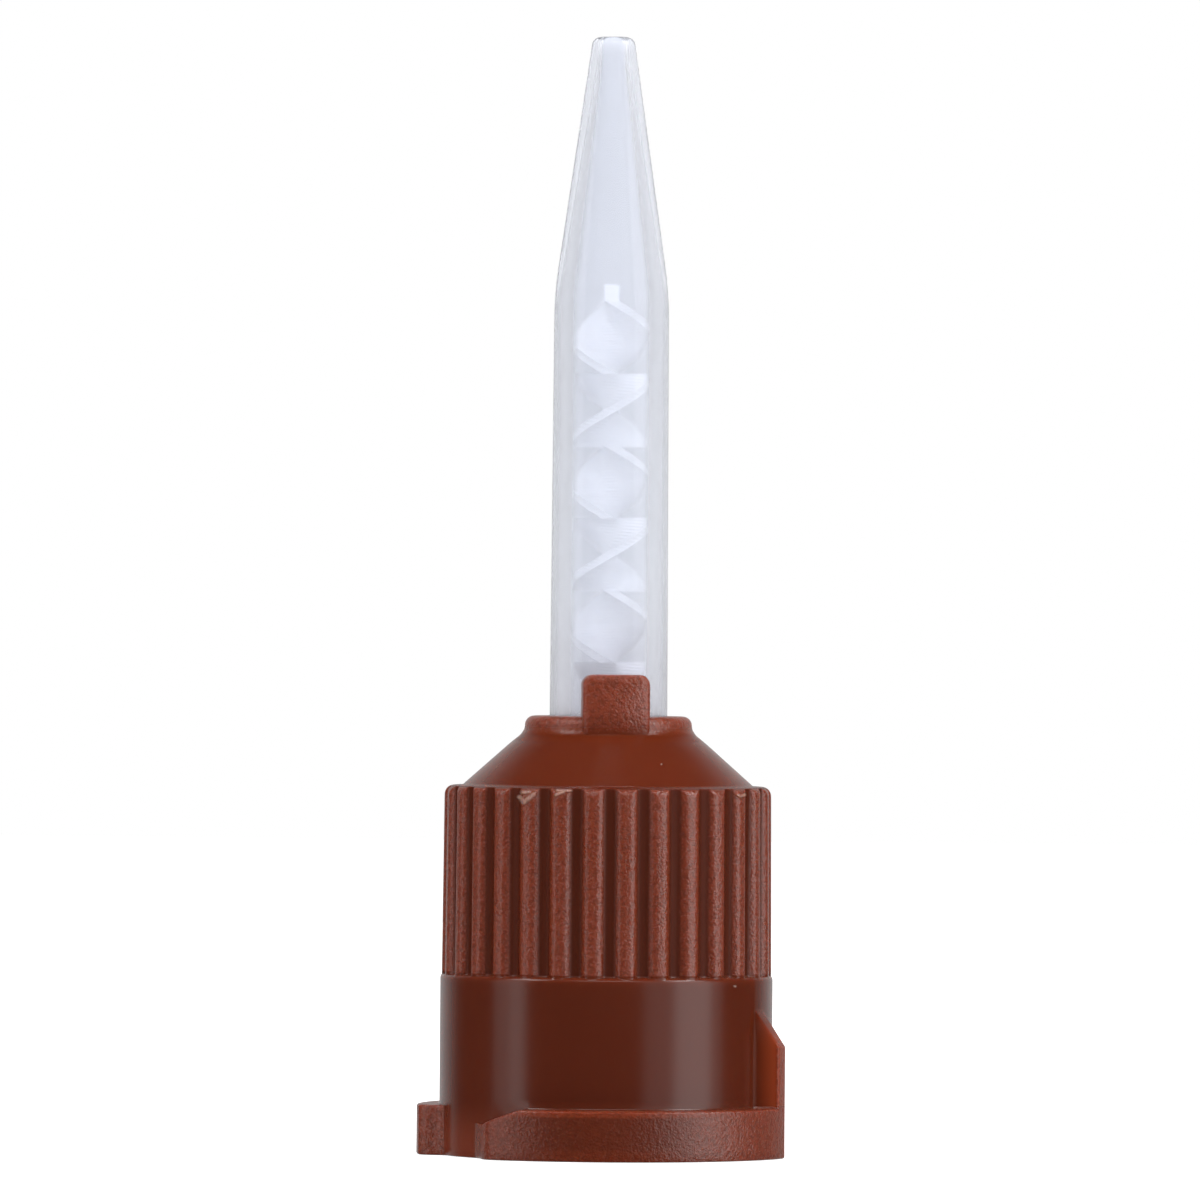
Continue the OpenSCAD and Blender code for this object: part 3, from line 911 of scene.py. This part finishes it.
def tab_grid(top):
    """The tab: a rounded outline, carried from the middle of its face over its edge to the back.

    Each ring of the grid is the outline drawn in by an inset, at its own distance from the axis."""
    inner = TAB_RADIUS - TAB_THICKNESS
    edge = 0.1
    insets = np.array([0.0, 0.03, edge, 0.3, 0.6, 0.9, 1.05])
    depths = TAB_RADIUS - np.array([edge, 0.03, 0.0, 0.0, 0.0, 0.0, 0.0])
    rings = []
    for inset, out in zip(insets, depths):
        r = max(TAB_CORNER - inset, 0.02)
        w = TAB_WIDTH / 2 - inset
        t = top - inset
        f = min(TAB_FOOT + inset, TAB_MIDDLE)
        right = arc(w - r, t - r, r, 0, 90, 7)
        left = arc(r - w, t - r, r, 90, 180, 7)
        side = np.linspace(f, t - r, 8)[:-1]
        outline = np.vstack(
            [
                np.column_stack([np.full(7, w), side]),
                right,
                left,
                np.column_stack([np.full(7, -w), side[::-1]]),
                np.column_stack([np.linspace(-w, w, 9)[1:-1], np.full(7, f)]),
            ]
        )
        # beside the ring the face curves in to the cone's neck
        pull = 0.15 * smooth(RING_TOP - outline[:, 1], 0.0, 0.6)
        rings.append(np.column_stack([outline[:, 0], out - pull, outline[:, 1]]))
    front = np.array(rings)
    back = front[:3].copy()
    back[0, :, 1] = inner + edge
    back[1, :, 1] = inner + 0.03
    back[2, :, 1] = inner
    grid = np.concatenate([front[::-1], back])
    out = grid[:, :, 1]
    x = grid[:, :, 0]
    y = -np.sqrt(np.maximum(out**2 - x**2, 0.0))
    turn = math.radians(TAB_ANGLE)
    placed_x = x * math.cos(turn) - y * math.sin(turn)
    placed_y = x * math.sin(turn) + y * math.cos(turn)
    return np.stack([placed_x, placed_y, grid[:, :, 2]], axis=2)


def capped(name, grid):
    """A grid closed round its columns, with a fan of triangles over its first and last ring."""
    rings, count = grid.shape[:2]
    points = np.vstack([grid.reshape(-1, 3), grid[0].mean(0), grid[-1].mean(0)])
    faces = grid_faces(rings, count, False, True).tolist()
    here = np.arange(count)
    after = (here + 1) % count
    first, last = rings * count, rings * count + 1
    faces += np.column_stack([np.full(count, first), after, here]).tolist()
    end = (rings - 1) * count
    faces += np.column_stack([np.full(count, last), end + here, end + after]).tolist()
    return mesh_object(name, points, faces)


def united(main, *others):
    """One closed solid from several that run into each other."""
    for other in others:
        step = main.modifiers.new("Unite", "BOOLEAN")
        step.operation = "UNION"
        step.solver = "MANIFOLD"
        step.object = other
    depsgraph = bpy.context.evaluated_depsgraph_get()
    joined = bpy.data.meshes.new_from_object(main.evaluated_get(depsgraph))
    main.modifiers.clear()
    main.data = joined
    for other in others:
        bpy.data.objects.remove(other)
    return main


def upright(name, x, y, low, high):
    """A closed upright bar over the corners of its plan."""
    corners = [np.column_stack([x, y, np.full(len(x), z)]) for z in (low, high)]
    return capped(name, np.array(corners))


def stop_rib(name, angle):
    """A small upright bar inside the collar, which meets the nozzle's key."""
    outer = LEDGE_RADIUS + 0.15
    across = np.array([-STOP_HALF, STOP_HALF, STOP_HALF, -STOP_HALF])
    out = np.array([KEY_INNER, KEY_INNER, outer, outer])
    cos = math.cos(math.radians(angle))
    sin = math.sin(math.radians(angle))
    return upright(name, across * cos + out * sin, across * sin - out * cos, LEDGE_HEIGHT - 0.02, STOP_TOP)


def dressed(piece, material):
    """Gives a finished piece its shading and its one material."""
    piece.data.shade_smooth()
    piece.data.set_sharp_from_angle(angle=math.radians(40))
    piece.data.materials.clear()
    piece.data.materials.append(material)


class MIXTIP_OT_collar(bpy.types.Operator):
    """Builds the brown collar with its ribs, lugs, fin, ring and tab"""

    bl_idname = "mixtip.collar"
    bl_label = "Moulded collar"

    def execute(self, context):
        settings = context.scene.mixtip_collar
        collar = solid_grid("moulded_collar", collar_grid(settings))
        tab = capped("tab", tab_grid(settings.tab_top / MM))
        stops = [stop_rib(f"stop_{i}", angle) for i, angle in enumerate(STOP_ANGLES)]
        collar = united(collar, tab, *stops)
        dressed(collar, brown_plastic(settings))
        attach(collar, "collar")
        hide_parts("collar")
        return {"FINISHED"}


# Nozzle

NOZZLE_COLUMNS = 144
BELL_INNER = 3.82
BELL_RADIUS = 4.52
BELL_FOOT = 5.0
FLANGE_TOP = 10.0
FLANGE_THICKNESS = 0.7
KEY_HALF = 0.3
KEY_OUTER = 4.02
KEY_TOP = 10.9
TUBE_FOOT = 15.0
TAPER_START = 29.25
TAPER_BEND = 0.9
TAPER_RADIUS = 1.95
TIP_RADIUS = 0.74
TIP_ROUND = 0.3
OUTLET_RADIUS = 0.4
# Radius of the wall's middle where the taper starts, and how much it draws in for each millimetre above
WALL_MIDDLE = 1.615
WALL_TAPER = 0.1265


def nozzle_profile(settings):
    """Closed profile of the nozzle: bell, flange, tube, taper and rounded rim, then back down the bore."""
    top = settings.top / MM
    tube = settings.tube_radius / MM
    bore = settings.bore_radius / MM
    flange_foot = FLANGE_TOP - FLANGE_THICKNESS
    tip_z = top - TIP_ROUND
    slope = (TAPER_RADIUS - TIP_RADIUS) / (tip_z - TAPER_START)
    rise = np.linspace(-TAPER_BEND, TAPER_BEND, 9)
    # in the bend, the taper's slope comes in as the square of the way through it
    bend = TAPER_RADIUS - slope * (rise + TAPER_BEND) ** 2 / (4 * TAPER_BEND)
    tube_z = np.linspace(16.0, 28.0, 13)
    narrowing = (tube - TAPER_RADIUS) / (TAPER_START - TAPER_BEND - TUBE_FOOT)
    taper_z = np.linspace(TAPER_START + 1.4, tip_z - 0.3, 12)
    outside = [
        [[BELL_INNER + 0.05, BELL_FOOT], [BELL_RADIUS - 0.06, BELL_FOOT], [BELL_RADIUS, BELL_FOOT + 0.06]],
        [[BELL_RADIUS, 7.5], [BELL_RADIUS, FLANGE_TOP - 0.06], [BELL_RADIUS - 0.06, FLANGE_TOP]],
        [[3.2, FLANGE_TOP], [tube + 0.3, FLANGE_TOP], [tube + 0.1, FLANGE_TOP + 0.1]],
        [[tube, FLANGE_TOP + 0.32]],
        [[tube, z] for z in np.linspace(11.0, TUBE_FOOT, 5)],
        np.column_stack([tube - narrowing * (tube_z - TUBE_FOOT), tube_z]),
        np.column_stack([bend, TAPER_START + rise]),
        np.column_stack([TAPER_RADIUS - slope * (taper_z - TAPER_START), taper_z]),
        arc(TIP_RADIUS - TIP_ROUND, tip_z, TIP_ROUND, 5, 90, 7),
    ]
    cone_z = np.linspace(top - 1.0, TAPER_START, 10)
    cone_r = bore + (OUTLET_RADIUS - bore) * (cone_z - TAPER_START) / (top - 1.0 - TAPER_START)
    inside = [
        [[OUTLET_RADIUS + 0.02, top], [OUTLET_RADIUS, top - 0.03], [OUTLET_RADIUS, top - 0.5]],
        np.column_stack([cone_r, cone_z]),
        [[bore, z] for z in np.linspace(28.0, 11.0, 16)],
        [[bore, flange_foot + 0.1], [bore + 0.1, flange_foot], [3.3, flange_foot - 0.38]],
        [[3.4, 8.9], [3.4, 7.4], [BELL_INNER, 7.4], [BELL_INNER, 6.2], [BELL_INNER, BELL_FOOT + 0.05]],
    ]
    return np.vstack([np.array(part, float) for part in outside + inside])


class MIXTIP_OT_nozzle(bpy.types.Operator):
    """Builds the cloudy nozzle as one turned wall with its stop key"""

    bl_idname = "mixtip.nozzle"
    bl_label = "Cloudy nozzle"

    def execute(self, context):
        settings = context.scene.mixtip_nozzle
        nozzle = solid_grid("cloudy_nozzle", turned_grid(nozzle_profile(settings), NOZZLE_COLUMNS))
        across = [-KEY_HALF, KEY_HALF, KEY_HALF, -KEY_HALF]
        out = [KEY_INNER, KEY_INNER, KEY_OUTER, KEY_OUTER]
        nozzle = united(nozzle, upright("key", across, out, FLANGE_TOP - 0.05, KEY_TOP))
        dressed(nozzle, cloudy_plastic(settings))
        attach(nozzle, "nozzle")
        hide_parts("nozzle")
        return {"FINISHED"}


class MIXTIP_OT_element(bpy.types.Operator):
    """Gives the mixing element its white plastic"""

    bl_idname = "mixtip.element"
    bl_label = "Mixing element"

    def execute(self, context):
        settings = context.scene.mixtip_element
        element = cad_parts["mixing_element"]
        element.data.materials.clear()
        element.data.materials.append(white_plastic(settings))
        return {"FINISHED"}


# Stage

FLOOR_REACH = 0.6
FLOOR_GLOW = 0.85
FLOOR_THROUGH = 0.48
LAMP_AIM = 0.017
SENSOR_WIDTH = 36.0
# Name, view angle, height, distance, width, length, radiance, and whether gloss shows the lamp
LAMPS = (
    ("left_softbox", -69.5, 0.03, 0.16, 0.077, 0.2, 0.65, True),
    ("left_core", -63.5, 0.03, 0.155, 0.032, 0.2, 0.6, True),
    ("left_top", -70.0, 0.14, 0.12, 0.06, 0.06, 5.0, True),
    ("right_softbox", 56.0, 0.03, 0.16, 0.19, 0.2, 0.6, True),
    ("right_core", 62.0, 0.03, 0.155, 0.08, 0.2, 1.3, True),
    ("right_top", 70.0, 0.14, 0.12, 0.06, 0.06, 6.5, True),
    ("front_top", 0.0, 0.16, 0.14, 0.14, 0.05, 2.5, True),
    ("overhead", 0.0, 0.24, 0.1, 0.2, 0.2, 2.6, False),
    ("left_fill", -100.0, 0.03, 0.25, 0.2, 0.2, 1.3, False),
    ("right_fill", 100.0, 0.03, 0.25, 0.2, 0.2, 1.6, False),
    ("back_fill", 180.0, 0.1, 0.3, 0.3, 0.3, 0.6, False),
    ("front_fill", 8.0, 0.06, 0.3, 0.3, 0.3, 0.5, False),
)


def pale_floor():
    """A pale floor that takes the soft shadow. It glows to the camera, and less to rays through the nozzle.

    It doesn't show in gloss, because the collar's upright faces reflect no bright floor in the photo. It
    lies a little under the collar, so that the two don't share a plane."""
    mesh = bpy.data.meshes.new("floor")
    sides = ((-1, -1), (1, -1), (1, 1), (-1, 1))
    corners = [(x * FLOOR_REACH, y * FLOOR_REACH, -0.02 * MM) for x, y in sides]
    mesh.from_pydata(corners, [], [(0, 1, 2, 3)])
    floor = placed("floor", mesh)
    shader = Shader("Floor paper")
    shader.set("Base Color", opaque((0.6, 0.6, 0.6)))
    shader.set("Roughness", 0.9)
    shader.set("Specular IOR Level", 0.0)
    path = shader.add("ShaderNodeLightPath").outputs
    through = shader.times(path["Is Transmission Ray"], FLOOR_THROUGH)
    seen = shader.most(path["Is Camera Ray"], through)
    shader.set("Emission Color", opaque((1.0, 1.0, 1.0)))
    shader.set("Emission Strength", shader.times(seen, FLOOR_GLOW))
    mesh.materials.append(shader.material)
    floor.visible_glossy = False


def studio_world():
    """White to the camera, dimmer as plain light, and other strengths for gloss and through the nozzle.

    Gloss sees it bright behind the object only. Rays through the nozzle see it bright in front and dimmer at
    the sides, with light from above and a little from behind added, which reaches the mixing element."""
    world = bpy.data.worlds.new("Studio")
    world.use_nodes = True
    graph = Graph(world.node_tree)
    _, y, z = graph.split(graph.add("ShaderNodeTexCoord").outputs["Generated"])
    path = graph.add("ShaderNodeLightPath").outputs
    through = path["Is Transmission Ray"]
    strength = graph.blend(path["Is Glossy Ray"], 0.45, graph.ramp(y, 0.45, 0.95, 0.04, 0.55))
    strength = graph.blend(through, strength, graph.ramp(y, -0.95, -0.35, 2.05, 0.6))
    strength = graph.math("MULTIPLY_ADD", graph.ramp(z, 0.35, 0.75, 0.0, 2.2), through, strength)
    strength = graph.math("MULTIPLY_ADD", graph.ramp(y, 0.6, 0.95, 0.0, 0.14), through, strength)
    strength = graph.blend(path["Is Camera Ray"], strength, 1.0)
    background = graph.nodes["Background"]
    graph.feed(background, "Color", opaque((1.0, 1.0, 1.0)))
    graph.feed(background, "Strength", strength)
    return world


def lamp(name, azimuth, height, distance, width, tall, radiance, shown_in_gloss):
    """A soft rectangular lamp that faces the object, as bright as its radiance says."""
    data = bpy.data.lights.new(name, "AREA")
    data.shape = "RECTANGLE"
    data.size = width
    data.size_y = tall
    data.energy = radiance * math.pi * width * tall
    made = placed(name, data)
    x, y = at(azimuth, distance)
    made.location = (x, y, height)
    to_x, to_y, to_z = np.array([0.0, 0.0, LAMP_AIM]) - np.array(made.location)
    tilt = math.atan2(math.hypot(to_x, to_y), -to_z)
    made.rotation_euler = (tilt, 0.0, math.atan2(to_y, to_x) - math.pi / 2)
    made.visible_glossy = shown_in_gloss
    made.visible_transmission = False
    made.visible_camera = False


class MIXTIP_OT_stage(bpy.types.Operator):
    """Sets up the floor, the lamps, the world and the camera"""

    bl_idname = "mixtip.stage"
    bl_label = "Stage"

    def execute(self, context):
        scene = context.scene
        settings = scene.mixtip_stage
        pale_floor()
        for values in LAMPS:
            lamp(*values)
        scene.world = studio_world()

        camera = placed("camera", bpy.data.cameras.new("camera"))
        camera.data.sensor_width = SENSOR_WIDTH
        camera.data.lens = SENSOR_WIDTH * settings.camera_distance / settings.frame_width
        camera.data.clip_start = 0.01
        camera.location = (settings.camera_side, -settings.camera_distance, settings.camera_height)
        camera.rotation_euler = (math.pi / 2, -settings.camera_roll, 0.0)
        scene.camera = camera
        scene.view_settings.view_transform = "Standard"
        return {"FINISHED"}


class MIXTIP_PT_panel(bpy.types.Panel):
    """Lists the steps that build the mixing tip"""

    bl_idname = "MIXTIP_PT_panel"
    bl_label = "Mixing tip"
    bl_space_type = "VIEW_3D"
    bl_region_type = "UI"
    bl_category = "Mixing tip"

    def draw(self, context):
        for name, kind, step in STEPS:
            box = self.layout.box()
            for setting in kind.__annotations__:
                box.prop(getattr(context.scene, name), setting)
            box.operator(step.bl_idname)


# Each step's settings, with their name in the scene, and its operator
STEPS = (
    ("mixtip_stage", StageSettings, MIXTIP_OT_stage),
    ("mixtip_collar", CollarSettings, MIXTIP_OT_collar),
    ("mixtip_nozzle", NozzleSettings, MIXTIP_OT_nozzle),
    ("mixtip_element", ElementSettings, MIXTIP_OT_element),
)


def register():
    """Registers the settings, the steps and the panel."""
    for name, kind, step in STEPS:
        bpy.utils.register_class(kind)
        setattr(bpy.types.Scene, name, bpy.props.PointerProperty(type=kind))
        bpy.utils.register_class(step)
    bpy.utils.register_class(MIXTIP_PT_panel)


def unregister():
    """Takes the panel, the steps and the settings out again."""
    bpy.utils.unregister_class(MIXTIP_PT_panel)
    for name, kind, step in reversed(STEPS):
        bpy.utils.unregister_class(step)
        delattr(bpy.types.Scene, name)
        bpy.utils.unregister_class(kind)


def write_size():
    """Updates the view layer."""
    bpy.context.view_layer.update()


def main():
    """Registers everything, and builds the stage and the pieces."""
    register()
    bpy.ops.mixtip.stage()
    bpy.ops.mixtip.collar()
    bpy.ops.mixtip.nozzle()
    bpy.ops.mixtip.element()
    write_size()


if __name__ == "__main__":
    main()
